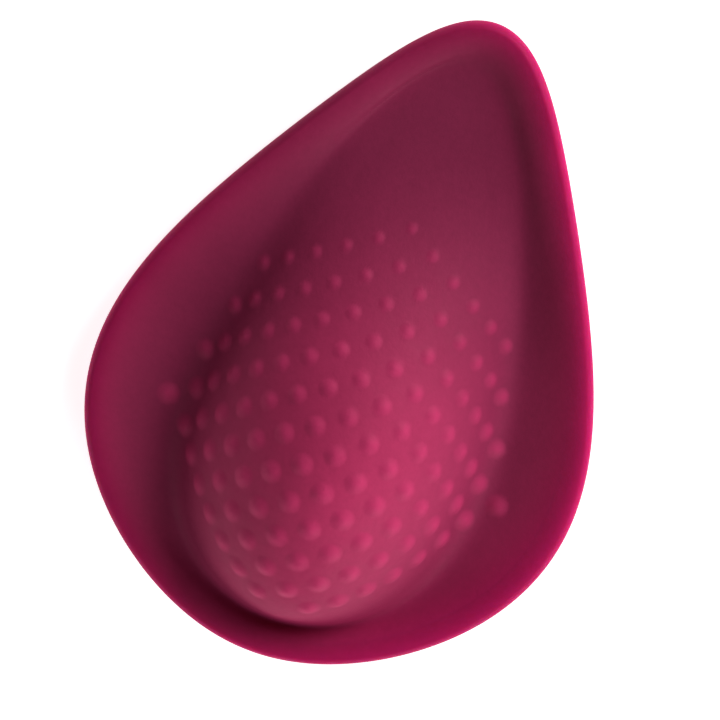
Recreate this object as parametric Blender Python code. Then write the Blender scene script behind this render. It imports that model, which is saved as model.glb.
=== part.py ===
"""Silicone cupping cup: a drop-shaped flange with a soft rolled lip and a hollow squeeze bulb with nubs.

X runs across the cup, Y towards its narrow tip and Z up, away from the skin. The cup rests on the
flat ring round the mouth of its hollow, at Z = 0. Lengths are in metres.
"""

import math

import bmesh
import bpy
from mathutils import Matrix, Vector

# Outline of the cup, seen from above
LENGTH = 0.095
OUTLINE_SERIES = (0.633, -0.218, -0.0554, 0.0372)  # half width / half length, cosine terms

# Bulb, in its own axes, which are turned a little in the flange
BULB_TURN = math.radians(2.4)
FOOT_TIP_Y = 0.0400
FOOT_END_Y = -0.0416
FOOT_SERIES = (0.505, -0.163, 0.030)
CROWN_Y = -0.0176
BULB_HEIGHT = 0.0167  # crown above the valley round the bulb
TIP_TAPER = 3.3
END_ROUNDNESS = 0.50
SECTION_POWER = 2.0
SECTION_ROUNDNESS = 0.9

# Flange and lip
VALLEY_HEIGHT = 0.0030
LIP_WIDTH = 0.0040
LIP_HEIGHT = 0.0054
LIP_THICKNESS = 0.0034
FLANGE_EDGE_HEIGHT = 0.0048  # top of the flange where the lip begins
FLANGE_EDGE_THICKNESS = 0.0026
DISH_POWER = 1.4
CONTACT_SHARE = 0.60  # part of the flange's underside that lies flat on the skin
BULB_SEAM_SHARE = 0.54  # where the bulb's foot ring ends and the flange begins

# Hollow inside the bulb, a smaller copy of the bulb standing on the mouth
HOLLOW_SCALE = 0.85
HOLLOW_HEIGHT = 0.0170

# Crown that the thumb presses down, an oval of the bulb
CROWN_CENTRE_Y = -0.0145
CROWN_HALF_WIDTH = 0.0130
CROWN_HALF_LENGTH = 0.0175

# Nubs, in columns along the bulb, every other column half a pitch on
NUB_PITCH_ACROSS = 0.00389
NUB_PITCH_ALONG = 0.00552
NUB_ROW_BEND = 2.0  # rows bend towards the tip, per metre of arc across
NUB_PHASE = 0.885  # first nub tipwards of the crown, in pitches
NUB_COLUMNS = 8
NUB_ROWS = 8
NUB_FIELD_TIP_Y = 0.0190
NUB_FIELD_END_Y = -0.0365
NUB_FIELD_TIP_BEND = 33.0
NUB_FIELD_END_BEND = 16.0
NUB_SMALL = (0.00065, 0.00020)  # radius and height at the tip side
NUB_LARGE = (0.00135, 0.00060)  # radius and height at the fat end
NUB_ROOT = 0.0008
NUB_SIDES = 8
NUB_SHOULDER = (0.62, 0.75)  # where a nub rounds over, in shares of its radius and height

GAP = 0.0003
SIDES = 60
WALK_STEP = 0.0001
PRISM_REACH = 0.010

SILICONE_BULB = (0.42, 0.030, 0.115)
SILICONE_FLANGE = (0.24, 0.018, 0.065)
SILICONE_LIP = (0.52, 0.006, 0.110)


def series(terms, angle):
    """Sum of cosine terms, from the constant term up."""
    return sum(term * math.cos(order * angle) for order, term in enumerate(terms))


def angles():
    return [2 * math.pi * index / SIDES for index in range(SIDES)]


def outline(angle, inset=0.0):
    """Point on the cup's outline, 0 at the tip, moved inwards by inset along the normal."""
    half = LENGTH / 2

    def edge(turn):
        return Vector((half * math.sin(turn) * series(OUTLINE_SERIES, turn), half * math.cos(turn)))

    along = edge(angle + 0.001) - edge(angle - 0.001)
    inward = Vector((along.y, -along.x)).normalized()
    return edge(angle) + inward * inset


def foot_half_width(y):
    """Half width of the bulb's foot at y along the bulb."""
    half = (FOOT_TIP_Y - FOOT_END_Y) / 2
    middle = (FOOT_TIP_Y + FOOT_END_Y) / 2
    angle = math.acos(max(-1.0, min(1.0, (y - middle) / half)))
    return half * math.sin(angle) * series(FOOT_SERIES, angle)


def foot(angle):
    """Point on the outline of the bulb's foot, in the bulb's own axes."""
    half = (FOOT_TIP_Y - FOOT_END_Y) / 2
    middle = (FOOT_TIP_Y + FOOT_END_Y) / 2
    return Vector((half * math.sin(angle) * series(FOOT_SERIES, angle), middle + half * math.cos(angle)))


def crest(y):
    """Share of the bulb's height that its spine has at y."""
    if y > CROWN_Y:
        share = min((y - CROWN_Y) / (FOOT_TIP_Y - CROWN_Y), 1.0)
        return math.cos(share * math.pi / 2) ** TIP_TAPER
    share = min((CROWN_Y - y) / (CROWN_Y - FOOT_END_Y), 1.0)
    return (1 - share**2) ** END_ROUNDNESS


def bulb_share(x, y):
    """Share of the bulb's height over a point of its foot, 0 outside it."""
    half_width = foot_half_width(y)
    if abs(x) >= half_width:
        return 0.0
    return crest(y) * (1 - (abs(x) / half_width) ** SECTION_POWER) ** SECTION_ROUNDNESS


def turned(x, y, z):
    """Point of the bulb, from its own axes to the cup's."""
    return Matrix.Rotation(BULB_TURN, 3, "Z") @ Vector((x, y, z))


def bulb_point(angle, share):
    """Point on the bulb's outer skin, share of the way from the crown to the foot."""
    centre = Vector((0.0, CROWN_Y))
    plan = centre.lerp(foot(angle), share)
    return turned(plan.x, plan.y, VALLEY_HEIGHT + BULB_HEIGHT * bulb_share(plan.x, plan.y))


def hollow_point(angle, share):
    """Point on the skin of the hollow, share of the way from its top to the mouth's edge."""
    centre = Vector((0.0, CROWN_Y))
    plan = centre.lerp(foot(angle), share)
    height = HOLLOW_HEIGHT * bulb_share(plan.x, plan.y)
    inner = centre.lerp(plan, HOLLOW_SCALE)
    return turned(inner.x, inner.y, height)


def flange_plan(angle, share):
    """Plan point, share of the way from the bulb's foot to the lip's inner edge."""
    edge = foot(angle)
    return turned(edge.x, edge.y, 0.0).xy.lerp(outline(angle, LIP_WIDTH), share)


def flange_top(share):
    return VALLEY_HEIGHT + (FLANGE_EDGE_HEIGHT - VALLEY_HEIGHT) * share**DISH_POWER


def flange_underside(share):
    rise = max(0.0, (share - CONTACT_SHARE) / (1 - CONTACT_SHARE))
    return (FLANGE_EDGE_HEIGHT - FLANGE_EDGE_THICKNESS) * rise**DISH_POWER


def flange_ring(share, height, margin=0.0):
    """Ring of points of the flange at one share and height, moved outwards by margin."""
    points = []
    for angle in angles():
        plan = flange_plan(angle, share)
        outward = (outline(angle) - plan).normalized()
        points.append(Vector((*(plan + outward * margin), height)))
    return points


def solid_of_rings(name, rings, caps=()):
    """Closed solid from rings of points, joined in turn, ending in caps or on its first ring."""
    mesh = bmesh.new()
    loops = [[mesh.verts.new(point) for point in ring] for ring in rings]
    pairs = list(zip(loops, loops[1:]))
    if not caps:
        pairs.append((loops[-1], loops[0]))
    for first, second in pairs:
        for index in range(len(first)):
            after = (index + 1) % len(first)
            mesh.faces.new((first[index], first[after], second[after], second[index]))
    for cap, loop in zip(caps, (loops[0], loops[-1])):
        middle = mesh.verts.new(cap)
        for index in range(len(loop)):
            mesh.faces.new((middle, loop[index], loop[(index + 1) % len(loop)]))
    return finished(name, mesh)


def finished(name, mesh):
    """Object from a closed mesh, its faces turned outwards and shaded smooth."""
    bmesh.ops.recalc_face_normals(mesh, faces=mesh.faces)
    data = bpy.data.meshes.new(name)
    mesh.to_mesh(data)
    mesh.free()
    data.shade_smooth()
    data.set_sharp_from_angle(angle=math.radians(40))
    result = bpy.data.objects.new(name, data)
    bpy.context.scene.collection.objects.link(result)
    return result


def hide_guide(guide):
    guide.hide_render = True
    guide.display_type = "WIRE"
    return guide


def combine(target, operation, tool):
    modifier = target.modifiers.new(operation.title(), "BOOLEAN")
    modifier.operation = operation
    modifier.solver = "EXACT"
    modifier.object = tool


def silicone(name, color, roughness):
    material = bpy.data.materials.new(name)
    material.use_nodes = True
    shader = material.node_tree.nodes["Principled BSDF"]
    shader.inputs["Base Color"].default_value = (*color, 1.0)
    shader.inputs["Roughness"].default_value = roughness
    shader.inputs["Metallic"].default_value = 0.0
    shader.inputs["Subsurface Weight"].default_value = 0.3
    return material


def make_bulb_shell(name):
    """Whole bulb with its foot ring and its hollow, before the crown is parted from the wall."""
    dome = [share / 11 for share in range(1, 11)] + [0.96, 1.0]
    rings = [[bulb_point(angle, share) for angle in angles()] for share in dome]
    rings += [flange_ring(share, flange_top(share)) for share in (0.2, BULB_SEAM_SHARE)]
    rings.append(flange_ring(BULB_SEAM_SHARE, 0.0))
    hollow = [1.0, 0.98] + [share / 7 for share in range(6, 0, -1)]
    rings += [[hollow_point(angle, share) for angle in angles()] for share in hollow]
    top = turned(0.0, CROWN_Y, VALLEY_HEIGHT + BULB_HEIGHT)
    roof = turned(0.0, CROWN_Y, HOLLOW_HEIGHT)
    return solid_of_rings(name, rings, caps=(top, roof))


def walk(height, start, distance):
    """Place reached after going distance over the curve height(place) from start."""
    step = math.copysign(WALK_STEP, distance)
    place = start
    travelled = 0.0
    while travelled < abs(distance):
        travelled += math.hypot(step, height(place + step) - height(place))
        place += step
    return place


def nub_in_field(across, y):
    tip_side = NUB_FIELD_TIP_Y - NUB_FIELD_TIP_BEND * across**2
    end_side = NUB_FIELD_END_Y + NUB_FIELD_END_BEND * across**2
    return end_side < y < tip_side


def nub_places():
    """Plan points of the nubs, laid out by equal distances over the bulb's skin."""
    places = []
    for column in range(-NUB_COLUMNS, NUB_COLUMNS + 1):
        across = abs(column) * NUB_PITCH_ACROSS
        for row in range(-NUB_ROWS, NUB_ROWS):
            along = (row + NUB_PHASE + 0.5 * (column % 2)) * NUB_PITCH_ALONG
            y = walk(lambda place: BULB_HEIGHT * crest(place), CROWN_Y, along)
            y += NUB_ROW_BEND * across**2
            if nub_in_field(across, y):
                x = walk(lambda place: BULB_HEIGHT * bulb_share(place, y), 0.0, across)
                places.append((math.copysign(x, column), y))
    return places


def bulb_normal(x, y):
    step = 0.0002
    slope_x = BULB_HEIGHT * (bulb_share(x + step, y) - bulb_share(x - step, y)) / (2 * step)
    slope_y = BULB_HEIGHT * (bulb_share(x, y + step) - bulb_share(x, y - step)) / (2 * step)
    return Vector((-slope_x, -slope_y, 1.0)).normalized()


def nub_size(y):
    """Radius and height of a nub, growing from the tip side to the fat end."""
    share = (NUB_FIELD_TIP_Y - y) / (NUB_FIELD_TIP_Y - CROWN_Y)
    share = max(0.0, min(1.0, share))
    return [small + (large - small) * share for small, large in zip(NUB_SMALL, NUB_LARGE)]


def nub_frame(x, y):
    """Frame of a nub, its Z out of the bulb's skin."""
    base = Vector((x, y, VALLEY_HEIGHT + BULB_HEIGHT * bulb_share(x, y)))
    frame = Matrix.Translation(base) @ bulb_normal(x, y).to_track_quat("Z", "Y").to_matrix().to_4x4()
    return Matrix.Rotation(BULB_TURN, 4, "Z") @ frame


def nub_loop(mesh, frame, radius, level):
    turns = [2 * math.pi * side / NUB_SIDES for side in range(NUB_SIDES)]
    points = [Vector((radius * math.cos(turn), radius * math.sin(turn), level)) for turn in turns]
    return [mesh.verts.new(frame @ point) for point in points]


def add_nub(mesh, x, y):
    """One closed, low round button that roots in the bulb's wall."""
    radius, height = nub_size(y)
    frame = nub_frame(x, y)
    levels = ((1.0, -NUB_ROOT), (1.0, 0.0), (NUB_SHOULDER[0], NUB_SHOULDER[1] * height))
    loops = [nub_loop(mesh, frame, radius * reach, level) for reach, level in levels]
    for lower, upper in zip(loops, loops[1:]):
        for side in range(NUB_SIDES):
            after = (side + 1) % NUB_SIDES
            mesh.faces.new((lower[side], lower[after], upper[after], upper[side]))
    top = mesh.verts.new(frame @ Vector((0.0, 0.0, height)))
    for side in range(NUB_SIDES):
        mesh.faces.new((loops[-1][side], loops[-1][(side + 1) % NUB_SIDES], top))
    mesh.faces.new(reversed(loops[0]))


def make_nubs(name):
    mesh = bmesh.new()
    for x, y in nub_places():
        add_nub(mesh, x, y)
    return hide_guide(finished(name, mesh))


def make_crown_prism(name, margin):
    """Upright oval prism round the crown, larger than it by margin."""
    rings = []
    for height in (-PRISM_REACH, BULB_HEIGHT + PRISM_REACH):
        ring = []
        for angle in angles():
            x = (CROWN_HALF_WIDTH + margin) * math.sin(angle)
            y = CROWN_CENTRE_Y + (CROWN_HALF_LENGTH + margin) * math.cos(angle)
            ring.append(turned(x, y, height))
        rings.append(ring)
    caps = [turned(0.0, CROWN_CENTRE_Y, rings[end][0].z) for end in (0, 1)]
    return hide_guide(solid_of_rings(name, rings, caps))


def make_bulb(material):
    """Bulb in two pieces: the crown that moves down, and the wall that stands on the foot ring."""
    nubs = make_nubs("nub_guide")
    for name, operation, margin in (("bulb_crown", "INTERSECT", 0.0), ("bulb_wall", "DIFFERENCE", GAP)):
        piece = make_bulb_shell(name)
        combine(piece, "UNION", nubs)
        combine(piece, operation, make_crown_prism(name + "_guide", margin))
        piece.data.materials.append(material)


def make_flange(material):
    """Dished flange from the bulb's foot ring out to the lip."""
    shares = (BULB_SEAM_SHARE, 0.56, 0.7, 0.82, 0.92, 1.0)
    margins = [GAP if share == BULB_SEAM_SHARE else 0.0 for share in shares]
    top = [flange_ring(share, flange_top(share), margin) for share, margin in zip(shares, margins)]
    under = [flange_ring(share, flange_underside(share), margin) for share, margin in zip(shares, margins)]
    flange = solid_of_rings("flange_skirt", top + under[::-1])
    flange.data.materials.append(material)


def lip_section():
    """Section of the lip as (inset from the outline, height), round its bead and back."""
    middle = LIP_HEIGHT - LIP_THICKNESS / 2
    radius = LIP_THICKNESS / 2
    inner = LIP_WIDTH - GAP
    bead = []
    for step in range(9):
        turn = math.radians(90 - 22.5 * step)
        bead.append((radius * (1 - math.cos(turn)), middle + radius * math.sin(turn)))
    top_join = [(inner, FLANGE_EDGE_HEIGHT), (0.75 * inner, 0.35 * FLANGE_EDGE_HEIGHT + 0.65 * LIP_HEIGHT)]
    return top_join + bead + [(inner, FLANGE_EDGE_HEIGHT - FLANGE_EDGE_THICKNESS)]


def make_lip(material):
    """Soft rolled lip all round the flange."""
    rings = []
    for inset, height in lip_section():
        rings.append([Vector((*outline(angle, inset), height)) for angle in angles()])
    lip = solid_of_rings("soft_lip", rings)
    lip.data.materials.append(material)


def main():
    for old in list(bpy.data.objects):
        bpy.data.objects.remove(old, do_unlink=True)
    make_bulb(silicone("silicone_bulb", SILICONE_BULB, 0.42))
    make_flange(silicone("silicone_flange", SILICONE_FLANGE, 0.45))
    make_lip(silicone("silicone_lip", SILICONE_LIP, 0.38))


main()
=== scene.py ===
"""Looks of the silicone cupping cup: one fine skin for the bulb, one for the flange, one for the lip.

The three skins share one surface, so their joins don't show. X runs across the cup, Y towards its
narrow tip and Z up. Lengths are in metres.
"""

import math

import bpy
import numpy as np
from mathutils import Matrix, Vector
from mathutils.kdtree import KDTree


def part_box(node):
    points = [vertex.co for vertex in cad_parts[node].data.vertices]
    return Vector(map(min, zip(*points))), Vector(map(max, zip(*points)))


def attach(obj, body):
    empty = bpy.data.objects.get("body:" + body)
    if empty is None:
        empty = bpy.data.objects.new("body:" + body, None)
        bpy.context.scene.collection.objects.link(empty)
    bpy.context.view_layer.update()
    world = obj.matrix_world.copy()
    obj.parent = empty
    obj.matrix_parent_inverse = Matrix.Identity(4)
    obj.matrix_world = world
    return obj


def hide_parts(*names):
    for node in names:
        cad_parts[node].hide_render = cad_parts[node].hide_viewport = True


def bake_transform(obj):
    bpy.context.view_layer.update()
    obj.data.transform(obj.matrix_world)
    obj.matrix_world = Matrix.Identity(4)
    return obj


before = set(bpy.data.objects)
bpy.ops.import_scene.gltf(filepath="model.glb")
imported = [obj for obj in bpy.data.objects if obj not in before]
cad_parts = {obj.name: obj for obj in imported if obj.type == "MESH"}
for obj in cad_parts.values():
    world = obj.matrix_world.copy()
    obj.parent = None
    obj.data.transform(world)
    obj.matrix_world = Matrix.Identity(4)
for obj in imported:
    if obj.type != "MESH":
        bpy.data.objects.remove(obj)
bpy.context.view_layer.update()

MM = 0.001
TINY = 1e-12

# Outline of the cup and foot of the bulb, as the CAD has them
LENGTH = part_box("soft_lip")[1].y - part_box("soft_lip")[0].y
OUTLINE_SERIES = (0.633, -0.218, -0.0554, 0.0372)  # half width / half length, cosine terms
BULB_TURN = math.radians(2.4)
FOOT_TIP_Y = 40.0 * MM
FOOT_END_Y = -41.6 * MM
FOOT_SERIES = (0.505, -0.163, 0.030)
FOOT_HALF_LENGTH = (FOOT_TIP_Y - FOOT_END_Y) / 2
FOOT_MIDDLE_Y = (FOOT_TIP_Y + FOOT_END_Y) / 2
CROWN_Y = -17.6 * MM
BULB_HEIGHT = 16.7 * MM
TIP_TAPER = 3.3
END_ROUNDNESS = 0.50
SECTION_POWER = 2.0
SECTION_ROUNDNESS = 0.9

# Flange, lip and hollow, as the CAD has them
VALLEY_HEIGHT = 3.0 * MM
LIP_WIDTH = 4.0 * MM
LIP_HEIGHT = 5.4 * MM
LIP_THICKNESS = 3.4 * MM
FLANGE_EDGE_HEIGHT = 4.8 * MM
FLANGE_EDGE_THICKNESS = 2.6 * MM
DISH_POWER = 1.4
CONTACT_SHARE = 0.60  # part of the flange's underside that lies flat on the skin
BULB_SEAM_SHARE = 0.54  # where the bulb's foot ring ends and the flange begins
HOLLOW_SCALE = 0.85
HOLLOW_HEIGHT = 17.0 * MM

# Nubs, in columns along the bulb, every other column half a pitch on
NUB_PITCH_ACROSS = 3.89 * MM
NUB_PITCH_ALONG = 5.52 * MM
NUB_ROW_BEND = 2.0  # rows bend towards the tip, per metre of arc across
NUB_PHASE = 0.885  # first nub tipwards of the crown, in pitches
NUB_COLUMNS = 8
NUB_ROWS = 8
NUB_FIELD_TIP_Y = 19.0 * MM
NUB_FIELD_END_Y = -36.5 * MM
NUB_FIELD_TIP_BEND = 33.0  # per metre, as for the rows
NUB_FIELD_END_BEND = 16.0
LEAST_SLOPE_Z = 0.1  # least Z of the normal that a nub's height is worked out from
NUB_SMALL = np.array((0.95, 0.13)) * MM  # radius and height at the tip side
NUB_LARGE = np.array((1.85, 0.38)) * MM  # radius and height at the fat end

# Fineness and rounding of the skins
AROUND = 600
BULB_RINGS = 120
FLANGE_RINGS = 44
LIP_TOP_RINGS = 8
LIP_BEAD_RINGS = 24
LIP_UNDER_RINGS = 6
FLANGE_UNDER_RINGS = 16
CONTACT_RINGS = 7
MOUTH_SHARES = (1.0, 0.995, 0.985, 0.97, 0.95, 0.92)  # rings of the hollow, close together at its mouth
HOLLOW_SHARES = tuple(0.05 * step for step in range(18, 0, -1))
MOUTH_PASSES = 3
CORNER_HEIGHT = 0.3 * MM  # of the ring that keeps the contact ring's outer corner crisp
LIP_ROUNDED_RINGS = 12  # rings past the lip's inner edge that its fillet may move
LIP_PASSES = 60
FILLET_PASSES = 160
FILLET_REACH_AT_SIDES = 7.0 * MM
FILLET_REACH_AT_END = 2.2 * MM
TANGENT_STEP = 0.001  # radians between the points that a tangent is taken from
WALK_STEP = 0.05 * MM
WALK_STEPS = 1200

# Painted glow of the lip, as of light passing through the thin silicone, fading in over the flange
EDGE_FADE = 2.6 * MM
EDGE_PAINTED_LIGHT_AT = math.radians(133)  # middle of the painted light, where the glow fades in widest, as an angle from the tip round to the right
# how much further in the painted glow reaches on its lit side
EDGE_PAINTED_LIGHT_WIDENING = 1.3
EDGE_PAINTED_SHADE = 0.6  # painted shade: how much of the glow is lost on the opposite side
EDGE_LOBE_SHARPNESS = 4


# ---- outline, bulb and flange as surfaces ----


def series(terms, angle):
    return sum(term * np.cos(order * angle) for order, term in enumerate(terms))


def outline(angle, inset=0.0):
    """Plan points on the cup's outline, 0 at the tip, moved inwards by inset along the normal."""
    half = LENGTH / 2

    def edge(turn):
        return np.stack([half * np.sin(turn) * series(OUTLINE_SERIES, turn), half * np.cos(turn)], -1)

    along = edge(angle + TANGENT_STEP) - edge(angle - TANGENT_STEP)
    inward = np.stack([along[..., 1], -along[..., 0]], -1)
    inward /= np.linalg.norm(inward, axis=-1, keepdims=True)
    return edge(angle) + inward * inset


def foot(angle):
    """Plan points on the outline of the bulb's foot, in the bulb's own axes."""
    across = FOOT_HALF_LENGTH * np.sin(angle) * series(FOOT_SERIES, angle)
    return np.stack([across, FOOT_MIDDLE_Y + FOOT_HALF_LENGTH * np.cos(angle)], -1)


def foot_half_width(y):
    angle = np.arccos(np.clip((y - FOOT_MIDDLE_Y) / FOOT_HALF_LENGTH, -1.0, 1.0))
    return np.maximum(foot(angle)[..., 0], TINY)


def crest(y):
    """Share of the bulb's height that its spine has at y."""
    tip_share = np.clip((y - CROWN_Y) / (FOOT_TIP_Y - CROWN_Y), 0.0, 1.0)
    end_share = np.clip((CROWN_Y - y) / (CROWN_Y - FOOT_END_Y), 0.0, 1.0)
    tip_side = np.cos(tip_share * math.pi / 2) ** TIP_TAPER
    end_side = (1 - end_share**2) ** END_ROUNDNESS
    return np.where(y > CROWN_Y, tip_side, end_side)


def bulb_share(x, y):
    """Share of the bulb's height over points of its foot, 0 outside it."""
    across = np.clip(np.abs(x) / foot_half_width(y), 0.0, 1.0)
    return crest(y) * (1 - across**SECTION_POWER) ** SECTION_ROUNDNESS


def turned(plan):
    """Plan points of the bulb, from its own axes to the cup's."""
    cos, sin = math.cos(BULB_TURN), math.sin(BULB_TURN)
    return np.stack([cos * plan[..., 0] - sin * plan[..., 1], sin * plan[..., 0] + cos * plan[..., 1]], -1)


def raised(plan, height):
    """Points over plan points, at one height or at one for each."""
    return np.concatenate([plan, np.broadcast_to(height, plan.shape[:-1])[..., None]], -1)


ANGLES = np.arange(AROUND) * 2 * math.pi / AROUND
FOOT_PLAN = foot(ANGLES)
CROWN_PLAN = np.array((0.0, CROWN_Y))
LIP_EDGE_PLAN = outline(ANGLES, LIP_WIDTH)


def bulb_ring(share):
    plan = CROWN_PLAN + (FOOT_PLAN - CROWN_PLAN) * share
    return raised(turned(plan), VALLEY_HEIGHT + BULB_HEIGHT * bulb_share(plan[:, 0], plan[:, 1]))


def hollow_ring(share):
    plan = CROWN_PLAN + (FOOT_PLAN - CROWN_PLAN) * share
    height = HOLLOW_HEIGHT * bulb_share(plan[:, 0], plan[:, 1])
    return raised(turned(CROWN_PLAN + (plan - CROWN_PLAN) * HOLLOW_SCALE), height)


def flange_plan(share):
    return turned(FOOT_PLAN) * (1 - share) + LIP_EDGE_PLAN * share


def flange_top(share):
    rise = FLANGE_EDGE_HEIGHT - VALLEY_HEIGHT
    return raised(flange_plan(share), VALLEY_HEIGHT + rise * share**DISH_POWER)


def flange_underside(share):
    rise = max(0.0, (share - CONTACT_SHARE) / (1 - CONTACT_SHARE))
    return raised(flange_plan(share), (FLANGE_EDGE_HEIGHT - FLANGE_EDGE_THICKNESS) * rise**DISH_POWER)


def lip_rings():
    """Rings of the lip from its inner top edge round the bead to its inner lower edge."""
    middle = LIP_HEIGHT - LIP_THICKNESS / 2
    radius = LIP_THICKNESS / 2
    rings = []
    for step in range(1, LIP_TOP_RINGS + 1):
        share = step / LIP_TOP_RINGS
        inset = LIP_WIDTH + (radius - LIP_WIDTH) * share
        height = FLANGE_EDGE_HEIGHT + (LIP_HEIGHT - FLANGE_EDGE_HEIGHT) * math.sin(share * math.pi / 2)
        rings.append(raised(outline(ANGLES, inset), height))
    for step in range(1, LIP_BEAD_RINGS + 1):
        turn = math.pi / 2 - math.pi * step / LIP_BEAD_RINGS
        inset = radius * (1 - math.cos(turn))
        rings.append(raised(outline(ANGLES, inset), middle + radius * math.sin(turn)))
    under = FLANGE_EDGE_HEIGHT - FLANGE_EDGE_THICKNESS
    for step in range(1, LIP_UNDER_RINGS + 1):
        share = step / LIP_UNDER_RINGS
        inset = radius + (LIP_WIDTH - radius) * share
        rings.append(raised(outline(ANGLES, inset), middle - radius + (under - middle + radius) * share**2))
    return rings


# ---- the master surface: rings from the crown out over the flange and the lip ----


def relaxed(rings, weight, passes):
    """Rings smoothed along the way out, where weight is above 0."""
    for _ in range(passes):
        mean = (rings[:-2] + 2 * rings[1:-1] + rings[2:]) / 4
        rings[1:-1] += (mean - rings[1:-1]) * weight[1:-1, :, None]
    return rings


def distance_from(rings, index):
    """How far each point is from ring number index, measured in plan along its own way out."""
    steps = np.linalg.norm(np.diff(rings[..., :2], axis=0), axis=-1)
    run = np.concatenate([np.zeros((1, AROUND)), np.cumsum(steps, axis=0)])
    return np.abs(run - run[index])


def surface_normals(rings):
    """Unit normals of a surface of rings that close on themselves, pointing up and out."""
    out = np.gradient(rings, axis=0)
    around = np.roll(rings, -1, axis=1) - np.roll(rings, 1, axis=1)
    normals = np.cross(around, out)
    return normals / np.maximum(np.linalg.norm(normals, axis=-1, keepdims=True), TINY)


def walk(height, start, distance):
    """Place reached after going distance over the curve height(place) from start."""
    places = start + math.copysign(WALK_STEP, distance) * np.arange(WALK_STEPS)
    steps = np.hypot(np.diff(places), np.diff(height(places)))
    return float(np.interp(abs(distance), np.concatenate([[0.0], np.cumsum(steps)]), places))


def nub_places():
    """Plan points of the nubs in the bulb's axes, laid out by equal distances over its skin."""
    places = []
    for column in range(-NUB_COLUMNS, NUB_COLUMNS + 1):
        across = abs(column) * NUB_PITCH_ACROSS
        tip_side = NUB_FIELD_TIP_Y - NUB_FIELD_TIP_BEND * across**2
        end_side = NUB_FIELD_END_Y + NUB_FIELD_END_BEND * across**2
        for row in range(-NUB_ROWS, NUB_ROWS):
            along = (row + NUB_PHASE + 0.5 * (column % 2)) * NUB_PITCH_ALONG
            y = walk(lambda place: BULB_HEIGHT * crest(place), CROWN_Y, along) + NUB_ROW_BEND * across**2
            if end_side < y < tip_side:
                x = walk(lambda place: BULB_HEIGHT * bulb_share(place, np.full_like(place, y)), 0.0, across)
                places.append((math.copysign(x, column), y))
    return np.array(places)


def nub_sizes(y):
    share = np.clip((NUB_FIELD_TIP_Y - y) / (NUB_FIELD_TIP_Y - CROWN_Y), 0.0, 1.0)
    return NUB_SMALL + (NUB_LARGE - NUB_SMALL) * share[:, None]


def plan_tree(points):
    """Search tree over points as seen from above."""
    tree = KDTree(len(points))
    for index, point in enumerate(points):
        tree.insert((point[0], point[1], 0.0), index)
    tree.balance()
    return tree


def nub_lift(rings, normals):
    """Height of the nubs over every point of the surface."""
    places = nub_places()
    sizes = nub_sizes(places[:, 1])
    points = rings.reshape(-1, 3)
    flat_normals = normals.reshape(-1, 3)
    tree = plan_tree(points)
    lift = np.zeros(len(points))
    for (x, y), (radius, height) in zip(turned(places), sizes):
        nearest = tree.find((x, y, 0.0))[1]
        slope = flat_normals[nearest]
        drop = slope[0] * (x - points[nearest][0]) + slope[1] * (y - points[nearest][1])
        centre = np.array((x, y, points[nearest][2] - drop / max(slope[2], LEAST_SLOPE_Z)))
        reach = np.clip(1 - np.sum((points - centre) ** 2, -1) / radius**2, 0.0, 1.0)
        lift = np.maximum(lift, height * reach**2)
    return lift.reshape(rings.shape[:2])


def fillet_reach():
    """How far the fillet round the bulb's foot reaches, longer at the flanks than at the fat end."""
    sides = np.sqrt(np.abs(np.cos(ANGLES / 2)))
    return FILLET_REACH_AT_END + (FILLET_REACH_AT_SIDES - FILLET_REACH_AT_END) * sides


def smooth_surface(foot_index, lip_index):
    """Rings of the whole top from the crown out, rounded at the bulb's foot and the lip, without nubs."""
    bulb = [bulb_ring((step + 1) / BULB_RINGS) for step in range(BULB_RINGS)]
    flange = [flange_top((step + 1) / FLANGE_RINGS) for step in range(FLANGE_RINGS)]
    rings = np.array(bulb + flange + lip_rings())
    near_foot = np.clip(1 - distance_from(rings, foot_index) / fillet_reach(), 0.0, 1.0)
    rings = relaxed(rings, near_foot, FILLET_PASSES)
    near_lip = np.clip(1 - distance_from(rings, lip_index) / LIP_WIDTH, 0.0, 1.0)
    near_lip[lip_index + LIP_ROUNDED_RINGS:] = 0.0
    return relaxed(rings, near_lip, LIP_PASSES)


def master_surface():
    """Top of the whole cup as rings, with its normals and nubs, and the numbers of the two seam rings."""
    foot_index = BULB_RINGS - 1
    seam_index = foot_index + int(FLANGE_RINGS * BULB_SEAM_SHARE)
    lip_index = foot_index + FLANGE_RINGS
    rings = smooth_surface(foot_index, lip_index)
    normals = surface_normals(rings)
    lift = nub_lift(rings, normals)
    lift[seam_index:] = 0.0
    rings = rings + normals * lift[..., None]
    return rings, surface_normals(rings), lift, seam_index, lip_index


# ---- skins ----


def painted_edge_glow(points):
    """How much of the lip's painted glow each point has: most on the outline, fading inwards, reaching
    further in on the side of the painted light and dulled by painted shade on the opposite side.
    """
    tree = plan_tree(outline(ANGLES))
    found = [tree.find((point[0], point[1], 0.0)) for point in points]
    nearest = np.array([place[1] for place in found])
    distance = np.array([place[2] for place in found])
    lobe = np.cos(ANGLES[nearest] - EDGE_PAINTED_LIGHT_AT)
    # painted light: the glow reaches further in on one side
    fade = EDGE_FADE * (1 + EDGE_PAINTED_LIGHT_WIDENING * np.maximum(0.0, lobe) ** EDGE_LOBE_SHARPNESS)
    # painted shade: the glow dulled on the opposite side
    after_painted_shade = 1 - EDGE_PAINTED_SHADE * np.maximum(0.0, -lobe) ** EDGE_LOBE_SHARPNESS
    return after_painted_shade * np.exp(-distance / fade)


def add_layer(mesh, name, values):
    layer = mesh.attributes.new(name, "FLOAT", "POINT")
    layer.data.foreach_set("value", np.asarray(values, np.float32))


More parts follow.
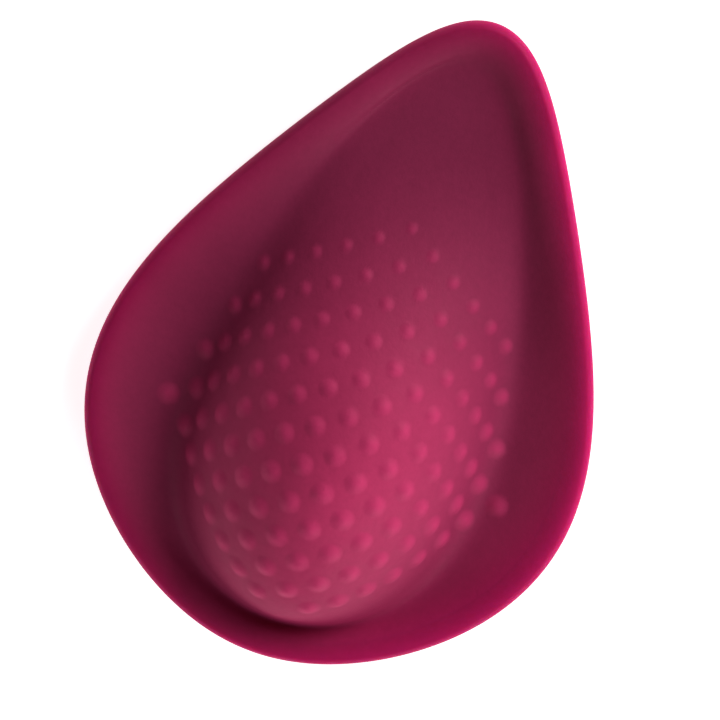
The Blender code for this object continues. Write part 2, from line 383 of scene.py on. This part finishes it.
def ring_faces(count, capped):
    """Faces that join rings in turn, ending in two cap points or on the first ring."""
    pairs = [(first, first + 1) for first in range(count - 1)]
    if not capped:
        pairs.append((count - 1, 0))
    faces = []
    for first, second in pairs:
        for index in range(AROUND):
            after = (index + 1) % AROUND
            a, b = first * AROUND, second * AROUND
            faces.append((a + index, a + after, b + after, b + index))
    if capped:
        top, bottom, last = count * AROUND, count * AROUND + 1, (count - 1) * AROUND
        for index in range(AROUND):
            after = (index + 1) % AROUND
            faces.append((top, after, index))
            faces.append((bottom, last + index, last + after))
    return faces


def add_layers(mesh, points, lift):
    """Layers that the material reads: nubs for their painted light, the lip's painted glow with its painted
    light and shade, and height on the bulb for the painted light on its top.
    """
    nub = np.zeros(len(points))
    nub[: lift.size] = np.sqrt(lift.ravel() / NUB_LARGE[1])
    heights = np.array([point.z for point in points])
    add_layer(mesh, "nub", nub)
    # share of the lip's painted glow, with its painted light and painted shade
    add_layer(mesh, "edge", painted_edge_glow(points))
    # height share on the bulb, which the material turns into painted light on its top
    add_layer(mesh, "crown", np.clip((heights - VALLEY_HEIGHT) / BULB_HEIGHT, 0.0, 1.0))


def skin(name, rings, normals, lift, caps=()):
    """Closed mesh from rings, with the given normals on its first rings, and its layers for the material."""
    points = [Vector(point) for point in (*np.concatenate(rings), *caps)]
    mesh = bpy.data.meshes.new(name)
    mesh.from_pydata(points, [], ring_faces(len(rings), bool(caps)))
    mesh.shade_smooth()
    add_layers(mesh, points, lift)
    given = np.zeros((len(points), 3))
    given[: normals.shape[0] * AROUND] = normals.reshape(-1, 3)
    mesh.normals_split_custom_set_from_vertices([tuple(normal) for normal in given])
    piece = bpy.data.objects.new(name, mesh)
    bpy.context.scene.collection.objects.link(piece)
    return piece


def make_bulb(rings, normals, lift, seam):
    """Bulb skin: nubbed top, flat contact ring, and the hollow with a rounded mouth."""
    seam_share = (seam - BULB_RINGS + 1) / FLANGE_RINGS
    contact = [raised(flange_plan(share), 0.0) for share in np.linspace(seam_share, 0.0, CONTACT_RINGS)]
    hollow = [hollow_ring(share) for share in MOUTH_SHARES + HOLLOW_SHARES]
    under = np.array(contact + hollow)
    rounded = np.zeros((len(under), AROUND))
    rounded[CONTACT_RINGS - 2:] = 1.0
    under = relaxed(under, rounded, MOUTH_PASSES)
    side = contact[0] + (0.0, 0.0, CORNER_HEIGHT)
    crown = turned(CROWN_PLAN)
    caps = ((*crown, VALLEY_HEIGHT + BULB_HEIGHT + lift[0].mean()), (*crown, HOLLOW_HEIGHT))
    top = slice(0, seam + 1)
    return skin("bulb_skin", [*rings[top], side, *under], normals[top], lift[top], caps)


def make_flange(rings, normals, seam, lip):
    """Flange skin between the two seams, with its underside."""
    seam_share = (seam - BULB_RINGS + 1) / FLANGE_RINGS
    under = [flange_underside(share) for share in np.linspace(1.0, seam_share, FLANGE_UNDER_RINGS)]
    top = slice(seam, lip + 1)
    return skin("flange_skin", [*rings[top], *under], normals[top], np.zeros(normals[top].shape[:2]))


def make_lip(rings, normals, lip):
    return skin("lip_skin", list(rings[lip:]), normals[lip:], np.zeros(normals[lip:].shape[:2]))


# ---- material ----


FOOT_COLOR = (0.212, 0.016, 0.058, 1.0)  # the silicone's own colour, low on the bulb and over the flange
CROWN_PAINTED_LIGHT_COLOR = (0.46, 0.029, 0.108, 1.0)  # painted light: the top of the bulb lighter, as where light falls on and through its thin wall
PAINTED_EDGE_GLOW_COLOR = (0.36, 0.001, 0.062, 1.0)  # painted glow of light passing through the thin lip
PAINTED_RIM_GLOW_COLOR = (0.46, 0.003, 0.11, 1.0)  # the painted glow, brightest in its last millimetre
RIM_SHARPNESS = 2.5  # how fast the rim's painted glow gives way to the edge's
# painted light: the nubs lighter, as where they catch the light
NUB_PAINTED_LIGHT_COLOR = (0.56, 0.034, 0.135, 1.0)
NUB_PAINTED_LIGHT_SHARE = 0.5
CLOUD_SIZE = 14 * MM  # slow change of shade over the moulding
CLOUD_SHADES = (0.84, 1.16)
SPECK_SIZE = 0.8 * MM  # fine mottling
SPECK_SHADES = (0.92, 1.08)
SATIN_SIZE = 2.5 * MM  # change of gloss
SATIN_ROUGHNESS = (0.52, 0.72)
GRAIN_SIZE = 0.45 * MM
GRAIN_DEPTH = 0.02 * MM
RIPPLE_SIZE = 4 * MM
RIPPLE_DEPTH = 0.08 * MM
CLEARNESS = (-0.3, 0.9)  # of the lip where the edge layer is 0 and 1; less than 0 counts as none


def plug(tree, socket, value):
    """Give a socket a number or colour, or link an output to it."""
    if isinstance(value, bpy.types.NodeSocket):
        tree.links.new(value, socket)
    else:
        socket.default_value = value


def layer(tree, name):
    node = tree.nodes.new("ShaderNodeAttribute")
    node.attribute_name = name
    return node.outputs["Fac"]


def mixed(tree, factor, first, second, how="MIX"):
    """Colour made of two colours."""
    node = tree.nodes.new("ShaderNodeMix")
    node.data_type = "RGBA"
    node.blend_type = how
    a_socket, b_socket = [socket for socket in node.inputs if socket.type == "RGBA"]
    plug(tree, node.inputs["Factor"], factor)
    plug(tree, a_socket, first)
    plug(tree, b_socket, second)
    return [socket for socket in node.outputs if socket.type == "RGBA"][0]


def noise(tree, size):
    """Noise with grains of about this size, fixed to the cup so that it runs on over the joins."""
    place = tree.nodes.new("ShaderNodeTexCoord")
    node = tree.nodes.new("ShaderNodeTexNoise")
    node.inputs["Scale"].default_value = 1 / size
    tree.links.new(place.outputs["Object"], node.inputs["Vector"])
    return node.outputs["Fac"]


def ranged(tree, value, low, high):
    """Number from 0 to 1 taken to low to high."""
    node = tree.nodes.new("ShaderNodeMapRange")
    node.inputs["To Min"].default_value = low
    node.inputs["To Max"].default_value = high
    tree.links.new(value, node.inputs["Value"])
    return node.outputs["Result"]


def power(tree, value, exponent):
    node = tree.nodes.new("ShaderNodeMath")
    node.operation = "POWER"
    tree.links.new(value, node.inputs[0])
    node.inputs[1].default_value = exponent
    return node.outputs["Value"]


def bump(tree, height, depth, below=None):
    """Bump of full depth, over another bump if there is one."""
    node = tree.nodes.new("ShaderNodeBump")
    node.inputs["Distance"].default_value = depth
    tree.links.new(height, node.inputs["Height"])
    if below:
        tree.links.new(below, node.inputs["Normal"])
    return node.outputs["Normal"]


def silicone(name, clear=False):
    """Satin silicone with painted light: lighter towards the top of the bulb and on the nubs, and a painted
    glow at the lip with painted light on one side and painted shade on the other; clear at the lip.
    """
    material = bpy.data.materials.new(name)
    material.use_nodes = True
    tree = material.node_tree
    shader = tree.nodes["Principled BSDF"]
    # painted light and shade: lighter with height on the bulb, darker low down
    color = mixed(tree, layer(tree, "crown"), FOOT_COLOR, CROWN_PAINTED_LIGHT_COLOR)
    # painted glow at the lip, with painted light on one side and painted shade on the other
    color = mixed(tree, layer(tree, "edge"), color, PAINTED_EDGE_GLOW_COLOR)
    color = mixed(tree, power(tree, layer(tree, "edge"), RIM_SHARPNESS), color, PAINTED_RIM_GLOW_COLOR)
    # painted light on the nubs, most on their tops
    color = mixed(tree, ranged(tree, layer(tree, "nub"), 0.0, NUB_PAINTED_LIGHT_SHARE), color, NUB_PAINTED_LIGHT_COLOR)
    color = mixed(tree, 1.0, color, ranged(tree, noise(tree, CLOUD_SIZE), *CLOUD_SHADES), "MULTIPLY")
    color = mixed(tree, 1.0, color, ranged(tree, noise(tree, SPECK_SIZE), *SPECK_SHADES), "MULTIPLY")
    tree.links.new(color, shader.inputs["Base Color"])
    tree.links.new(ranged(tree, noise(tree, SATIN_SIZE), *SATIN_ROUGHNESS), shader.inputs["Roughness"])
    grain = bump(tree, noise(tree, GRAIN_SIZE), GRAIN_DEPTH)
    ripple = bump(tree, noise(tree, RIPPLE_SIZE), RIPPLE_DEPTH, grain)
    tree.links.new(ripple, shader.inputs["Normal"])
    if clear:
        clearness = ranged(tree, layer(tree, "edge"), *CLEARNESS)
        tree.links.new(clearness, shader.inputs["Subsurface Weight"])
        shader.inputs["Subsurface Radius"].default_value = (1.0, 0.12, 0.3)
        shader.inputs["Subsurface Scale"].default_value = 2.5 * MM
    shader.inputs["IOR"].default_value = 1.41
    shader.inputs["Specular IOR Level"].default_value = 0.15
    shader.inputs["Sheen Weight"].default_value = 0.02
    shader.inputs["Sheen Roughness"].default_value = 0.45
    shader.inputs["Sheen Tint"].default_value = (1.0, 0.6, 0.75, 1.0)
    return material


# ---- stage, lights and camera ----

VIEW_TILT_TO_TIP = 0.25
VIEW_TILT_TO_LEFT = 0.045
TIP_CLOCKWISE = math.radians(22)
CAMERA_DISTANCE = 0.70
FIELD_WIDTH = 98.6 * MM
CUP_RIGHT_OF_MIDDLE = 1.53 * MM
CUP_ABOVE_MIDDLE = 2.47 * MM
FLOOR_REACH = 1.5
FLOOR_CLEARANCE = 0.02 * MM  # below the contact ring, so that the two faces don't flicker
FLOOR_GLOW = 0.75  # keeps the floor white in the cup's shadow
WORLD_STRENGTH = 0.05
LIGHT_DISTANCE = 0.6
LIGHT_SIZE = 0.35


def camera_axes():
    """Right, up and back of the camera in the cup's axes."""
    back = Vector((-VIEW_TILT_TO_LEFT, VIEW_TILT_TO_TIP, 1.0)).normalized()
    tipwards = Vector((0.0, 1.0, 0.0))
    tipwards = (tipwards - back * tipwards.dot(back)).normalized()
    up = Matrix.Rotation(TIP_CLOCKWISE, 3, back) @ tipwards
    return up.cross(back), up, back


def make_camera():
    right, up, back = camera_axes()
    data = bpy.data.cameras.new("camera")
    data.lens = data.sensor_width * CAMERA_DISTANCE / FIELD_WIDTH
    data.clip_start = 0.01
    camera = bpy.data.objects.new("camera", data)
    bpy.context.scene.collection.objects.link(camera)
    middle = Vector((0.0, 0.0, LIP_HEIGHT - LIP_THICKNESS / 2))
    target = middle - right * CUP_RIGHT_OF_MIDDLE - up * CUP_ABOVE_MIDDLE
    frame_of_view = Matrix((right, up, back)).transposed().to_4x4()
    camera.matrix_world = Matrix.Translation(target + back * CAMERA_DISTANCE) @ frame_of_view
    bpy.context.scene.camera = camera


def make_floor():
    mesh = bpy.data.meshes.new("floor")
    signs = ((-1, -1), (1, -1), (1, 1), (-1, 1))
    corners = [(x * FLOOR_REACH, y * FLOOR_REACH, -FLOOR_CLEARANCE) for x, y in signs]
    mesh.from_pydata(corners, [], [(0, 1, 2, 3)])
    floor = bpy.data.objects.new("floor", mesh)
    bpy.context.scene.collection.objects.link(floor)
    material = bpy.data.materials.new("paper_white")
    material.use_nodes = True
    shader = material.node_tree.nodes["Principled BSDF"]
    shader.inputs["Base Color"].default_value = (0.95, 0.95, 0.95, 1.0)
    shader.inputs["Roughness"].default_value = 0.9
    shader.inputs["Emission Color"].default_value = (1.0, 1.0, 1.0, 1.0)
    shader.inputs["Emission Strength"].default_value = FLOOR_GLOW
    mesh.materials.append(material)


def area_light(name, turn, elevation, power):
    """Square light, turn degrees round the view from its right and elevation degrees towards the camera."""
    right, up, back = camera_axes()
    turn, elevation = math.radians(turn), math.radians(elevation)
    level = right * math.cos(turn) + up * math.sin(turn)
    direction = level * math.cos(elevation) + back * math.sin(elevation)
    data = bpy.data.lights.new(name, "AREA")
    data.shape = "SQUARE"
    data.size = LIGHT_SIZE
    data.energy = power
    light = bpy.data.objects.new(name, data)
    bpy.context.scene.collection.objects.link(light)
    light.location = direction * LIGHT_DISTANCE
    light.rotation_mode = "QUATERNION"
    light.rotation_quaternion = direction.to_track_quat("Z", "Y")


def make_lights():
    world = bpy.data.worlds.new("studio")
    world.use_nodes = True
    background = world.node_tree.nodes["Background"]
    background.inputs["Color"].default_value = (1.0, 1.0, 1.0, 1.0)
    background.inputs["Strength"].default_value = WORLD_STRENGTH
    bpy.context.scene.world = world
    area_light("key", turn=30, elevation=35, power=3.7)
    area_light("low_right", turn=-62, elevation=12, power=1.95)
    area_light("low_left", turn=-138, elevation=15, power=1.05)


def main():
    rings, normals, lift, seam, lip = master_surface()
    bulb = make_bulb(rings, normals, lift, seam)
    flange = make_flange(rings, normals, seam, lip)
    lip_piece = make_lip(rings, normals, lip)
    bulb.data.materials.append(silicone("bulb_silicone"))
    flange.data.materials.append(silicone("flange_silicone"))
    lip_piece.data.materials.append(silicone("lip_silicone", clear=True))
    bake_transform(bulb)
    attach(flange, "rim")
    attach(lip_piece, "rim")
    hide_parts("bulb_crown", "bulb_wall")
    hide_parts("flange_skirt")
    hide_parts("soft_lip")
    make_floor()
    make_lights()
    make_camera()
    bpy.context.scene.view_settings.view_transform = "Standard"


main()
